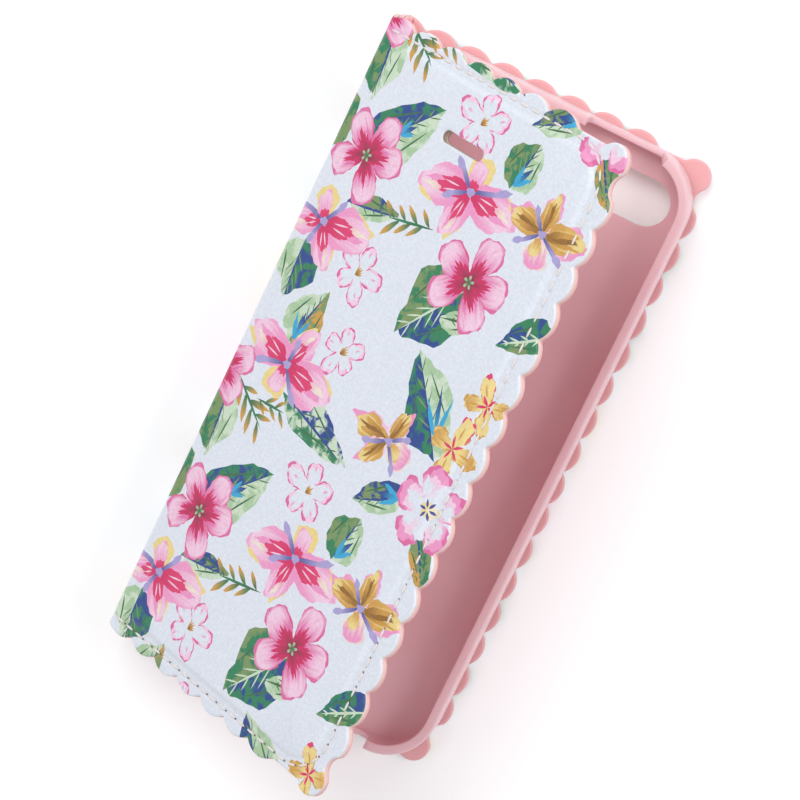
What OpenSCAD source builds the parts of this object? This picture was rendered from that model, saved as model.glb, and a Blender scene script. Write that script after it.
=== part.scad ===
// Folding case for a small phone: a printed leather sheet with a scalloped edge is
// folded over a spine, and a soft tray on its back panel holds the phone.
// Frame: the back lies on z = 0, X runs from the spine to the free edge, Y along the
// phone towards its top, and the origin is under the middle of the tray.

/* [Phone pocket] */
// Width of the phone that the tray holds
phone_w = 58.6; // [56:0.1:60]
// Length of the phone
phone_l = 123.8; // [118:0.1:126]
// Thickness of the phone
phone_t = 7.6; // [7:0.1:9]
// Radius of the phone's corners
phone_corner = 9.3; // [7:0.1:10]

/* [Tray] */
// Wall thickness of the soft tray
tray_wall = 1.2; // [1:0.1:1.6]
// Floor thickness of the tray
tray_floor = 1.2; // [1:0.1:1.6]
// How far the lip reaches in over the phone's edge
lip_reach = 0.7; // [0.4:0.1:0.9]
// Height of the lip above the phone's face
lip_height = 0.7; // [0.5:0.1:1]
// Thickness of the foam pad that bonds the tray to the lining
pad_t = 0.8; // [0.6:0.1:1]

/* [Leather sheet] */
// Distance from the back crease to the valleys of the free edge
panel_w = 63.4; // [62:0.1:66]
// Half of the sheet's length, measured to the valleys of its short edges
half_len = 62.9; // [62:0.1:64]
// Distance between the back crease and the cover crease
spine_w = 12.6; // [12.6:0.1:14]
// Distance from the tray's middle to the back crease
crease_run = 33.2; // [33:0.1:35]
// Pitch of the scallops on the long edges
long_pitch = 7; // [6.9:0.1:7.1]
// Pitch of the scallops on the short edges of the back panel
back_pitch = 7; // [6.8:0.1:7.2]
// Pitch of the scallops on the short edges of the cover
cover_pitch = 7.4; // [7.2:0.1:7.5]
// Depth of a scallop from valley to tip
scallop_depth = 1.7; // [1.2:0.1:2]

/* [Layers] */
// Thickness of the printed leather
skin_t = 0.8; // [0.7:0.1:0.9]
// Thickness of the reinforcing sheet between leather and lining
backing_t = 0.4; // [0.3:0.1:0.5]
// Thickness of the stiffener board, which raises the panel inside the seam
board_t = 0.5; // [0.4:0.1:0.6]
// Thickness of the lining
lining_t = 0.5; // [0.4:0.1:0.6]
// Width of the sewing thread
thread_w = 0.6; // [0.5:0.1:0.7]

/* [Pose] */
// Angle of the spine above the table, upright when the case is closed
spine_angle = 90; // [0:5:90]
// Angle between the spine's plane and the cover's plane
cover_angle = 56; // [0:1:90]

/* [Hidden] */
$fn = 64;

// Stack of layers, from the outer face of the raised panel up to the lining's face
border_z = board_t;
backing_z = border_z + skin_t;
lining_z = backing_z + backing_t;
sheet_t = lining_z + lining_t;
crease_z = (border_z + sheet_t) / 2;
crease_gap = 1.2;

// Places along the sheet: s = 0 at the back crease, the back lies at s > 0
back_edge_s = panel_w;
cover_crease_s = -spine_w;
cover_edge_s = cover_crease_s - panel_w;

// Scallops
long_count = 16;
short_count = 7;
back_corner_run = 10.7;
cover_corner_run = 12.7;
back_valley_s = back_edge_s - back_corner_run;
cover_valley_s = cover_edge_s + cover_corner_run;
fold_scallop_s = [-4.4, -10.4];
fold_pitch = 6.2;
crease_scallop_s = 0.2;
petal_r = 3.3;
petal_in = [2.5, 2];
notch_r = 2.8;
notch_in = 0.6;
notch_down = 5.6;

// Seam and raised panel
seam_in_x = 2.2;
seam_in_y = 1.1;
seam_corner_r = 8;
seam_start = 2;
thread_out = 0.25;
thread_in = 0.2;
panel_in = 1;
panel_start = 3;
board_in = 0.8;

// Earpiece slot in the cover, and camera hole in the back
slot_w = 2.3;
slot_l = 10.8;
slot_from_crease = 29.2;
slot_y = 50.2;
camera_w = 21;
camera_h = 10;
camera_at = [16.6, 53];

// Tray
slip = 0.2;
tray_z = sheet_t + pad_t;
pocket_z = tray_z + tray_floor;
pocket_h = phone_t + 0.1;
lip_z = pocket_z + pocket_h;
rim_z = lip_z + lip_height;
pocket_w = phone_w + slip;
pocket_l = phone_l + slip;
pad_in = 5;
base_draft = 0.6;
power_cut = [16, 14.5];
power_cut_depth = 4.6;
port_cut_w = 40;
port_cut_depth = 6.4;
side_cut = [34, 34];
side_cut_depth = 5;
cut_r = 1.5;
cut_through = 10;
pad_hole_gap = 1;
tray_hole_in = 0.5;
strip_in = [2, 1];
over = 1;
small = 0.01;

// Radius of a circle that stands depth proud of a chord of length pitch
function bump_r(pitch) = (pitch * pitch / 4 + scallop_depth * scallop_depth) / (2 * scallop_depth);

// A circle on the straight line y = 0 that shows as one scallop above it
module scallop(pitch) {
    translate([0, scallop_depth - bump_r(pitch)]) circle(bump_r(pitch));
}

// A row of scallops along a short edge: the first is centred half a pitch from start
module short_row(start, step) {
    for (k = [0 : short_count - 1])
        translate([start + sign(step) * (k + 0.5) * abs(step), 0]) scallop(abs(step));
}

// The scallops of one short edge, from free edge to free edge, on the line y = 0
module short_edge() {
    short_row(back_valley_s, -back_pitch);
    short_row(cover_valley_s, cover_pitch);
    for (s = fold_scallop_s) translate([s, 0]) scallop(fold_pitch);
    translate([crease_scallop_s, 0]) scallop(back_pitch);
}

// The scallops of one long edge, on the line y = 0
module long_edge() {
    for (k = [0 : long_count - 1])
        translate([(k - (long_count - 1) / 2) * long_pitch, 0]) scallop(long_pitch);
}

// The hollow in a long edge beside the petal, from the outline's corner
module petal_notch() {
    translate([notch_r - notch_in, -notch_down]) circle(notch_r);
}

// The rounded petal in a free corner, from the outline's corner
module petal() {
    difference() {
        translate(-petal_in) circle(petal_r);
        petal_notch();
    }
}

// The whole sheet as it is die-cut, laid out flat
module die_cut() {
    middle = (back_edge_s + cover_edge_s) / 2;
    reach = (back_edge_s - cover_edge_s) / 2;
    difference() {
        union() {
            translate([middle, 0]) square(2 * [reach - petal_in.x, half_len], center = true);
            translate([middle, 0]) square(2 * [reach, half_len - petal_in.y], center = true);
            for (m = [0, 1]) mirror([0, m]) translate([0, half_len]) short_edge();
            for (m = [0, 1]) translate([middle, 0]) mirror([m, 0])
                translate([reach, 0]) rotate(-90) long_edge();
            for (m = [0, 1], n = [0, 1]) translate([middle, 0]) mirror([m, 0]) mirror([0, n])
                translate([reach, half_len]) petal();
        }
        for (m = [0, 1], n = [0, 1]) translate([middle, 0]) mirror([m, 0]) mirror([0, n])
            translate([reach, half_len]) petal_notch();
    }
}

// The stretch of the sheet between two places along it
module stretch(from, to) {
    intersection() {
        die_cut();
        translate([from, -2 * half_len]) square([to - from, 4 * half_len]);
    }
}

module back_outline() stretch(crease_gap, 2 * panel_w);
module spine_outline() stretch(cover_crease_s + crease_gap, -crease_gap);
module cover_outline() stretch(cover_edge_s - 2 * scallop_depth, cover_crease_s - crease_gap);

module rounded_box(w, l, r) {
    hull_w = w / 2 - r;
    hull_l = l / 2 - r;
    square([w, l - 2 * r], center = true);
    square([w - 2 * r, l], center = true);
    for (x = [-hull_w, hull_w], y = [-hull_l, hull_l]) translate([x, y]) circle(r);
}

// An area inside the seam of a panel whose crease is at s = 0 and free edge at panel_w
module inside_seam(inset, start) {
    reach_x = panel_w - seam_in_x - inset;
    reach_y = half_len - seam_in_y - inset;
    r = seam_corner_r - inset;
    translate([start, -reach_y]) square([reach_x - r - start, 2 * reach_y]);
    translate([start, -reach_y + r]) square([reach_x - start, 2 * (reach_y - r)]);
    for (y = [-1, 1]) translate([reach_x - r, y * (reach_y - r)]) circle(r);
}

module seam_line() {
    difference() {
        inside_seam(-thread_w / 2, seam_start);
        inside_seam(thread_w / 2, seam_start - over);
    }
}

// Moves a shape drawn with its crease at s = 0 onto the cover's side of the sheet
module cover_side() {
    translate([cover_crease_s, 0, 0]) mirror([1, 0, 0]) children();
}

// Folds: the sheet lies flat, its spine turns up at the back crease, its cover at the next
module unrolled() {
    translate([-crease_run, 0, 0]) children();
}

module about_crease(s, angle) {
    translate([s, 0, crease_z]) rotate([0, angle, 0]) translate([-s, 0, -crease_z]) children();
}

module spine_fold() {
    unrolled() about_crease(0, spine_angle) children();
}

module cover_fold() {
    spine_fold() about_crease(cover_crease_s, cover_angle) children();
}

module layer(z, t) {
    translate([0, 0, z]) linear_extrude(t) children();
}

module camera_outline(grow) {
    translate(camera_at) rounded_box(camera_w + 2 * grow, camera_h + 2 * grow, camera_h / 2 + grow - small);
}

module camera_cut(grow) {
    translate([0, 0, -over]) linear_extrude(rim_z) camera_outline(grow);
}

module slot_cut() {
    translate([slot_from_crease, slot_y, -over]) linear_extrude(sheet_t + 2 * over)
        rounded_box(slot_l, slot_w, slot_w / 2 - small);
}

// Leather with its panel raised outwards over the board
module leather() {
    difference() {
        union() {
            layer(border_z, skin_t) children(0);
            layer(0, border_z + small) children(1);
        }
        translate([0, 0, skin_t]) linear_extrude(border_z + over) children(2);
    }
}

module back_leather() color("#e4e6ee") difference() {
    unrolled() leather() {
        back_outline();
        inside_seam(panel_in, panel_start);
        inside_seam(panel_in + board_in, panel_start + board_in);
    }
    camera_cut(0);
}

module back_backing() color("#f0e3d6") difference() {
    unrolled() layer(backing_z, backing_t) back_outline();
    camera_cut(0);
}

module back_board() color("#b9ab95") difference() {
    unrolled() layer(skin_t, board_t) inside_seam(panel_in + board_in, panel_start + board_in);
    camera_cut(0);
}

module back_lining() color("#e8a5b0") difference() {
    unrolled() layer(lining_z, lining_t) back_outline();
    camera_cut(0);
}

module seam_thread() {
    layer(border_z - thread_out, thread_out) seam_line();
    layer(sheet_t, thread_in) seam_line();
}

module back_seam_thread() color("#d9c3bd") unrolled() seam_thread();

module tray_pad() color("#c9b7ae") difference() {
    layer(sheet_t, pad_t)
        rounded_box(pocket_w - 2 * pad_in, pocket_l - 2 * pad_in, phone_corner - pad_in);
    camera_cut(pad_hole_gap);
}

module tray_body() {
    w = pocket_w + 2 * tray_wall;
    l = pocket_l + 2 * tray_wall;
    r = phone_corner + tray_wall;
    layer(tray_z, base_draft + small)
        rounded_box(w - 2 * base_draft, l - 2 * base_draft, r - base_draft);
    layer(tray_z + base_draft, rim_z - tray_z - base_draft) rounded_box(w, l, r);
}

// A rounded notch that opens upwards at the rim, cut through the wall along Y
module wall_notch(w, depth) {
    translate([0, -cut_through / 2, rim_z - depth + cut_r]) {
        translate([-w / 2, 0, 0]) cube([w, cut_through, depth]);
        translate([-w / 2 + cut_r, 0, -cut_r]) cube([w - 2 * cut_r, cut_through, depth]);
        for (x = [-1, 1]) translate([x * (w / 2 - cut_r), 0, 0])
            rotate([-90, 0, 0]) cylinder(h = cut_through, r = cut_r);
    }
}

module tray() color("#dba6ae") difference() {
    tray_body();
    layer(pocket_z, pocket_h) rounded_box(pocket_w, pocket_l, phone_corner);
    layer(pocket_z, rim_z)
        rounded_box(pocket_w - 2 * lip_reach, pocket_l - 2 * lip_reach, phone_corner - lip_reach);
    camera_cut(-tray_hole_in);
    translate([power_cut[1], pocket_l / 2, 0]) wall_notch(power_cut[0], power_cut_depth);
    translate([0, -pocket_l / 2, 0]) wall_notch(port_cut_w, port_cut_depth);
    translate([-pocket_w / 2, side_cut[1], 0]) rotate(90) wall_notch(side_cut[0], side_cut_depth);
}

module spine_leather() color("#e4e6ee") spine_fold() layer(border_z, skin_t) spine_outline();

module spine_strip() color("#f0e3d6") spine_fold() layer(backing_z, backing_t)
    translate([cover_crease_s + strip_in.x, -half_len + strip_in.y])
        square([spine_w - 2 * strip_in.x, 2 * (half_len - strip_in.y)]);

module spine_lining() color("#e8a5b0") spine_fold() layer(lining_z, lining_t) spine_outline();

module cover_leather() color("#e4e6ee") cover_fold() difference() {
    leather() {
        cover_outline();
        cover_side() inside_seam(panel_in, panel_start);
        cover_side() inside_seam(panel_in + board_in, panel_start + board_in);
    }
    cover_side() slot_cut();
}

module cover_backing() color("#f0e3d6") cover_fold() difference() {
    layer(backing_z, backing_t) cover_outline();
    cover_side() slot_cut();
}

module cover_board() color("#b9ab95") cover_fold() difference() {
    layer(skin_t, board_t) cover_side() inside_seam(panel_in + board_in, panel_start + board_in);
    cover_side() slot_cut();
}

module cover_lining() color("#e8a5b0") cover_fold() difference() {
    layer(lining_z, lining_t) cover_outline();
    cover_side() slot_cut();
}

module cover_seam_thread() color("#d9c3bd") cover_fold() cover_side() seam_thread();

back_leather();
back_backing();
back_board();
back_lining();
back_seam_thread();
tray_pad();
tray();
spine_leather();
spine_strip();
spine_lining();
cover_leather();
cover_backing();
cover_board();
cover_lining();
cover_seam_thread();
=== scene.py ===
# %% [markdown]
# # A folding phone case with a scalloped edge
# The case is one sandwich of printed leather, reinforcing sheet and pink lining, die-cut
# with small scallops all round and folded over a spine. A soft tray is bonded to its back
# panel. Everything here is in metres, but the pieces are drawn in millimetres and scaled
# once, when a mesh is made. The imported frame is loaded first, and the tray and the
# stitching ride on empties named after its bodies.

# %% Load the imported frame
import math

import bpy
import numpy as np
from mathutils import Matrix, Vector
from mathutils.geometry import delaunay_2d_cdt


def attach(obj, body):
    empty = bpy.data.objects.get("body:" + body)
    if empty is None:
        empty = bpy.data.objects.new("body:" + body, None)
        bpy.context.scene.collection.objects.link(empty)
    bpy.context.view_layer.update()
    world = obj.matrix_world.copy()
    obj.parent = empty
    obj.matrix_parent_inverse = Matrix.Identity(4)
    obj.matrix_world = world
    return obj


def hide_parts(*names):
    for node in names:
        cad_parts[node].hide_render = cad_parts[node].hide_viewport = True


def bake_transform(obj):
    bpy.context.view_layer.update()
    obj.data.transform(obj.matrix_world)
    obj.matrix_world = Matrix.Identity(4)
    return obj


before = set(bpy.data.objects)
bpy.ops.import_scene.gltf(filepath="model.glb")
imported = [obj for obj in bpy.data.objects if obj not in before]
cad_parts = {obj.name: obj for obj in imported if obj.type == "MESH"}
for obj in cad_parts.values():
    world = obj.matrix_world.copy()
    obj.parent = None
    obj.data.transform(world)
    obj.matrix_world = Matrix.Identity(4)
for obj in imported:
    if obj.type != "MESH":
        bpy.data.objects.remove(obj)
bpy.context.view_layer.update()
scene = bpy.context.scene
MM = 0.001

# %% [markdown]
# ## Camera
# A case is shown best from well above through a long lens, so that its long edges hardly
# converge. A camera could be aimed at an empty; here it gets a place, a direction to look
# in and a direction that points up, all in the frame's axes.

# %% Camera
LENS, CAMERA_AT = 131.3, (60.9, 104.7, 543.6)
AHEAD, UP = (-0.116, -0.1915, -0.9746), (-0.4508, 0.8845, -0.12)
camera_data = bpy.data.cameras.new("camera")
camera_data.sensor_width, camera_data.lens, camera_data.clip_start = 36, LENS, 0.01
camera = bpy.data.objects.new("camera", camera_data)
scene.collection.objects.link(camera)
ahead = Vector(AHEAD).normalized()
right = ahead.cross(Vector(UP)).normalized()
turn = Matrix((right, right.cross(ahead), -ahead)).transposed().to_4x4()
camera.matrix_world = Matrix.Translation(Vector(CAMERA_AT) * MM) @ turn
scene.camera = camera
scene.view_settings.view_transform = "Standard"
print("camera stands", round(camera.location.length, 3), "m away")

# %% [markdown]
# ## Colours and nodes
# Colours are written as they look on a screen, in hex. Light adds up in linear values, so
# one function turns each into what a shader needs. Another adds a node of any kind with
# its links and settings, which keeps every material below as a short list of steps.


# %% Colours and nodes
def linear(code):
    """A screen colour such as #e8a5b0 as linear red, green, blue and alpha."""
    parts = [int(code[i : i + 2], 16) / 255 for i in (1, 3, 5)]
    return (*[c / 12.92 if c <= 0.04045 else ((c + 0.055) / 1.055) ** 2.4 for c in parts], 1)


def plug(node, links):
    """Gives a node's inputs numbers, colours or other nodes' outputs."""
    for name, value in links.items():
        if isinstance(value, bpy.types.NodeSocket):
            node.id_data.links.new(value, node.inputs[name])
        else:
            node.inputs[name].default_value = value


def add(tree, kind, links=None, out=0, **settings):
    """Adds a node with its settings and links, and returns the output that is wanted."""
    node = tree.nodes.new(kind if "Node" in kind else "ShaderNode" + kind)
    for name, value in settings.items():
        setattr(node, name, value)
    plug(node, links or {})
    return node.outputs[out] if node.outputs else node


def new_finish(name, **values):
    """A material with plain numbers on its shader; returns it, its tree and the shader."""
    made = bpy.data.materials.new(name)
    made.use_nodes = True
    shader = made.node_tree.nodes["Principled BSDF"]
    plug(shader, {key.replace("_", " "): value for key, value in values.items()})
    return made, made.node_tree, shader


print("mid grey in linear light:", round(linear("#808080")[0], 3))

# %% [markdown]
# The finishes need few patterns: noise of a real size, a smooth ramp, arithmetic, a mix of
# two colours and a relief. All patterns lie on the object's own metres, so half a
# millimetre of grain stays half a millimetre. Image textures would need unwrapping instead.


# %% Patterns for the finishes
def noise(tree, size_mm, detail=3, **extra):
    """Noise whose features are about size_mm across."""
    where = add(tree, "TexCoord", out="Object")
    links = {"Vector": where, "Scale": 1 / (size_mm * MM), "Detail": detail, **extra}
    return add(tree, "TexNoise", links, "Fac")


def ramp(tree, value, low, high, out_low=0.0, out_high=1.0):
    """value between low and high, eased to out_low and out_high."""
    ends = {"From Min": low, "From Max": high, "To Min": out_low, "To Max": out_high}
    return add(tree, "MapRange", {"Value": value, **ends}, interpolation_type="SMOOTHSTEP")


def calc(tree, operation, a, b, c=0.0):
    """One step of arithmetic."""
    return add(tree, "Math", {0: a, 1: b, 2: c}, operation=operation)


def mixed(tree, share, a, b, blend="MIX"):
    """Colour a with a share of colour b over it."""
    return add(tree, "Mix", {0: share, 6: a, 7: b}, 2, data_type="RGBA", blend_type=blend)


def bumped(tree, shader, height, depth_mm, strength):
    """Gives the shader a relief of depth_mm."""
    links = {"Height": height, "Distance": depth_mm * MM, "Strength": strength}
    plug(shader, {"Normal": add(tree, "Bump", links)})


def grained(tree, shader, cell_mm, depth_mm, strength):
    """Embossed grain: soft cells with a finer noise over them. Returns the finer noise."""
    where = add(tree, "TexCoord", out="Object")
    links = {"Vector": where, "Scale": 1 / (cell_mm * MM), "Randomness": 0.9}
    cells = add(tree, "TexVoronoi", links, "Distance", feature="SMOOTH_F1")
    fine = noise(tree, cell_mm * 0.6, 2)
    bumped(tree, shader, calc(tree, "MULTIPLY_ADD", fine, 0.6, cells), depth_mm, strength)
    return fine


def plain_sheet(name, colour, dark, cell_mm, depth_mm, strength, **values):
    """A plain leather, fibre board or foam: two close tones and a grain."""
    made, tree, shader = new_finish(name, **values)
    cloud = noise(tree, 9)
    fine = grained(tree, shader, cell_mm, depth_mm, strength)
    share = calc(tree, "MULTIPLY_ADD", fine, 0.35, calc(tree, "MULTIPLY", cloud, 0.5))
    plug(shader, {"Base Color": mixed(tree, share, linear(colour), linear(dark))})
    return made


# %% [markdown]
# ## The pieces' meshes
# A finished piece is a plain mesh whose object sits at the origin. Points come in as
# millimetres. Edges sharper than the given angle stay crisp and the rest shade smoothly.


# %% Make a piece
def make_piece(name, points_mm, faces, materials, crisp=38):
    """A new object of these points and faces; crisp is an angle in degrees."""
    mesh = bpy.data.meshes.new(name)
    mesh.from_pydata([tuple(p) for p in np.asarray(points_mm) * MM], [], [tuple(f) for f in faces])
    mesh.update()
    mesh.shade_smooth()
    mesh.set_sharp_from_angle(angle=math.radians(crisp))
    for m in materials:
        mesh.materials.append(m)
    piece = bpy.data.objects.new(name, mesh)
    scene.collection.objects.link(piece)
    return piece


# %% [markdown]
# ## The sheet's sizes
# These are the sizes of the real layers, the same as in the part's source. Along the sheet,
# s is 0 at the back crease, positive over the back and negative over spine and cover.
# Through the sheet, n is 0 on the crease's turning line, positive towards the inside.

# %% Sizes of the sheet, in millimetres
PANEL_W, HALF_LEN, SPINE_W, CREASE_RUN = 63.4, 62.9, 12.6, 33.2
CREASE_Z, BEND_REACH = 1.35, 1.2
COVER_S = -SPINE_W - PANEL_W
SCALLOP, LONG_PITCH, BACK_PITCH, COVER_PITCH = 1.7, 7.0, 7.0, 7.4
LONG_ROW, SHORT_ROW, BACK_ROW, COVER_ROW = 16, 7, PANEL_W - 10.7, COVER_S + 12.7
SPINE_SCALLOPS = [(-4.4, 6.2), (-10.4, 6.2), (0.2, BACK_PITCH)]
PETAL_X, PETAL_Y, PETAL_R = 2.5, 2, 3.3
VALLEY_X, VALLEY_Y, VALLEY_R = 2.2, 5.6, 2.8
SPINE_TURN, COVER_TURN = math.radians(90), math.radians(56)
OUTER_N, SKIN_N, LINING_N, INNER_N = -0.85, -0.05, 0.35, 0.85
RAISED = 0.5
SEAM_X, SEAM_Y, SEAM_R, SEAM_START = PANEL_W - 2.2, HALF_LEN - 1.1, 8.0, 2.0
PANEL_IN, PANEL_START = 1.0, 3.0
BEYOND = 80.0


def eased(x):
    """0 below 0, 1 above 1, and a smooth step between."""
    x = np.clip(x, 0, 1)
    return x * x * (3 - 2 * x)


def fold(s, y, n):
    """Where a point of the flat sheet goes when spine and cover are folded up."""
    s, y, n = (np.asarray(v, float) for v in (s, y, n))
    x, z = s + SPINE_W, n
    for crease, full_turn in ((-SPINE_W, COVER_TURN), (0.0, SPINE_TURN)):
        a = full_turn * eased((crease + BEND_REACH - s) / (2 * BEND_REACH))
        x, z = x * np.cos(a) + z * np.sin(a), z * np.cos(a) - x * np.sin(a)
        if crease:
            x = x - SPINE_W
    return np.stack([x - CREASE_RUN, y + 0 * x, z + CREASE_Z], -1)


print("cover's free edge at z", round(float(fold(COVER_S, 0, 0)[2]), 1), "mm")

# %% [markdown]
# ## The die-cut outline
# A steel rule die cuts all layers at once, so they share one outline: a row of shallow
# arcs along every edge and a round petal in each free corner. The arcs are circles that
# stand proud of a rectangle. Blender's own constrained triangulation joins them: every
# circle goes in as a polygon, and the triangles that lie in any of them make the sheet.
# A die can't cut a needle-sharp valley, so the outline is then smoothed a little.


# %% Triangulate polygons and lines together
def triangulate(polygons, lines=()):
    """Points, triangles, and for each triangle the polygons that it lies in."""
    points, faces, edges = [], [], []
    for p in polygons:
        faces.append(list(range(len(points), len(points) + len(p))))
        points.extend(p)
    for line in lines:
        edges += [(len(points) + i, len(points) + i + 1) for i in range(len(line) - 1)]
        points.extend(line)
    out = delaunay_2d_cdt([Vector(p) for p in points], edges, faces, 0, 1e-4, True)
    return np.array([tuple(v) for v in out[0]]), out[2], out[5]


def rims(triangles):
    """The closed loops round a set of triangles, as lists of point numbers."""
    directed = {(t[i], t[(i + 1) % 3]) for t in triangles for i in range(3)}
    onward = {a: b for a, b in directed if (b, a) not in directed}
    loops = []
    while onward:
        loop = [next(iter(onward))]
        while loop[-1] in onward:
            loop.append(onward.pop(loop[-1]))
        loops.append(loop[:-1])
    return loops


def circle(x, y, r, count=88):
    """Points round a circle, anticlockwise."""
    t = np.arange(count) * 2 * math.pi / count
    return np.stack([x + r * np.cos(t), y + r * np.sin(t)], -1)


def box(x0, y0, x1, y1):
    """A rectangle's corners, anticlockwise."""
    return np.array([(x0, y0), (x1, y0), (x1, y1), (x0, y1)], float)


print("a box becomes", len(triangulate([box(0, 0, 1, 1)])[1]), "triangles")


# %% The outline
def scallop_at(x, y, out, pitch):
    """The circle of one scallop on an edge at (x, y) that faces along out."""
    r = (pitch**2 / 4 + SCALLOP**2) / (2 * SCALLOP)
    return circle(x + out[0] * (SCALLOP - r), y + out[1] * (SCALLOP - r), r)


def die_cut_outline():
    """The loop round everything that the die leaves."""
    whole = [box(COVER_S + PETAL_X, -HALF_LEN, PANEL_W - PETAL_X, HALF_LEN)]
    whole.append(box(COVER_S, PETAL_Y - HALF_LEN, PANEL_W, HALF_LEN - PETAL_Y))
    cut = []
    short = [(BACK_ROW - (k + 0.5) * BACK_PITCH, BACK_PITCH) for k in range(SHORT_ROW)]
    short += [(COVER_ROW + (k + 0.5) * COVER_PITCH, COVER_PITCH) for k in range(SHORT_ROW)]
    for side in (-1, 1):
        whole += [scallop_at(s, side * HALF_LEN, (0, side), p) for s, p in short + SPINE_SCALLOPS]
        for k in range(LONG_ROW):
            y = (k - (LONG_ROW - 1) / 2) * LONG_PITCH
            whole.append(scallop_at(PANEL_W, y, (1, 0), LONG_PITCH))
            whole.append(scallop_at(COVER_S, y, (-1, 0), LONG_PITCH))
        for edge, out in ((PANEL_W, 1), (COVER_S, -1)):
            whole.append(circle(edge - out * PETAL_X, side * (HALF_LEN - PETAL_Y), PETAL_R))
            cut.append(circle(edge + out * VALLEY_X, side * (HALF_LEN - VALLEY_Y), VALLEY_R))
    points, triangles, owners = triangulate(whole + cut)
    kept = [t for t, own in zip(triangles, owners) if own and max(own) < len(whole)]
    return points[max(rims(kept), key=len)]


def evenly(line, step, closed=True):
    """The same line with points every step."""
    line = np.vstack([line, line[:1]]) if closed else np.asarray(line, float)
    run = np.r_[0, np.cumsum(np.linalg.norm(np.diff(line, axis=0), axis=1))]
    at = np.linspace(0, run[-1], int(round(run[-1] / step)) + 1)
    at = at[:-1] if closed else at
    return np.stack([np.interp(at, run, line[:, i]) for i in (0, 1)], -1)


def softened(loop, sigma_steps):
    """A closed loop with its sharp corners rounded."""
    reach = range(-3 * sigma_steps, 3 * sigma_steps + 1)
    weights = [math.exp(-0.5 * (k / sigma_steps) ** 2) for k in reach]
    return sum(w * np.roll(loop, k, axis=0) for k, w in zip(reach, weights)) / sum(weights)


OUTLINE_STEP, SOFT_STEPS = 0.16, 2
outline = softened(evenly(die_cut_outline(), OUTLINE_STEP), SOFT_STEPS)[::2]
print("outline points:", len(outline), "span, mm:", np.ptp(outline, axis=0).round(2))

# %% [markdown]
# ## The print on the leather
# The leather is printed on the roll before it is cut, with loose watercolour flowers that
# repeat along it. The print could be one big shader, but brush marks are easier to draw as
# shapes: each petal, leaf half and stroke is a closed outline with two inks. Later they are
# set into the leather's own mesh, so the print stays sharp at any distance and needs no
# image file. Every mark also keeps its own small axes, and the material uses these for
# streaks that run along a petal.

# %% Inks
GROUND = "#dfe4ed"
ROSE, BLUSH, PINK = "#dd6ba2", "#f2cbe0", "#ec97c4"
CRIMSON, CHERRY, MAROON = "#cf2a62", "#dd3f70", "#8d2f48"
GREEN, MOSS, NAVY, CYAN = "#2f8058", "#7b9460", "#27478c", "#38a6d2"
PALE, SAGE, FERN = "#cbdcc3", "#a9c7a0", "#3d6b45"
YELLOW, OCHRE, BROWN = "#ecd48c", "#cf9c4c", "#93672a"
LILAC, INDIGO, CREAM = "#aaa0d0", "#5b5c9c", "#efe4cf"
FLAT_INK, PETAL_INK, LEAF_INK = (0, 0, 0), (1, 0, 0), (0, 1, 0)
print("ground in linear light:", [round(c, 2) for c in linear(GROUND)[:3]])

# %% Outlines of brush marks, from -1 to 1 along and across
angles = np.linspace(0, 2 * math.pi, 34, endpoint=False)
PETAL = np.stack([np.cos(angles), np.sin(angles) * (0.72 + 0.28 * np.cos(angles))], -1)
POINTED = np.stack([np.cos(angles), np.sign(np.sin(angles)) * np.sin(angles) ** 2], -1)
LONG_PETAL = np.stack([np.cos(angles), np.sin(angles) * (1 - 0.42 * np.cos(angles) ** 2)], -1)
STROKE = POINTED[::4]
half = np.linspace(0, math.pi, 19)
LEAF_LEFT = np.stack([np.cos(half), np.sin(half) ** 1.5 * (1 - 0.3 * np.cos(half))], -1)
LEAF_RIGHT = LEAF_LEFT[::-1] * [1, -1]
HAND_SEED = 11
marks, hand = [], np.random.default_rng(HAND_SEED)


def heading(degrees):
    """The direction at this angle, of length 1."""
    return np.array([math.cos(math.radians(degrees)), math.sin(math.radians(degrees))])


def dab(shape, at, toward, length, width, root, tip=None, wobble=0.03, kind=FLAT_INK):
    """One brush mark from at, in the direction toward, with inks for its root and tip."""
    a, b = heading(toward) * length / 2, heading(toward + 90) * width / 2
    centre = np.asarray(at, float) + a
    round_by = np.arctan2(shape[:, 1], shape[:, 0])
    waves = zip((3, 5, 11), (1, 1, 0.7), hand.uniform(0, 6, 3))
    swell = 1 + wobble * sum(np.sin(f * round_by + p) * g for f, g, p in waves)
    uneven = shape * swell[:, None]
    mark = {"points": centre + uneven[:, :1] * a + uneven[:, 1:] * b, "kind": kind}
    mark["axes"] = [*centre, *(a / (a @ a)), *(b / (b @ b))]
    marks.append({**mark, "inks": [linear(root), linear(tip or root)], "seed": hand.uniform(0, 50)})


# %% [markdown]
# Each kind of flower is one function, painted as a hand would: petals first, then the
# darker strokes over them, then the eye. The angles that it is given make each one differ.


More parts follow.
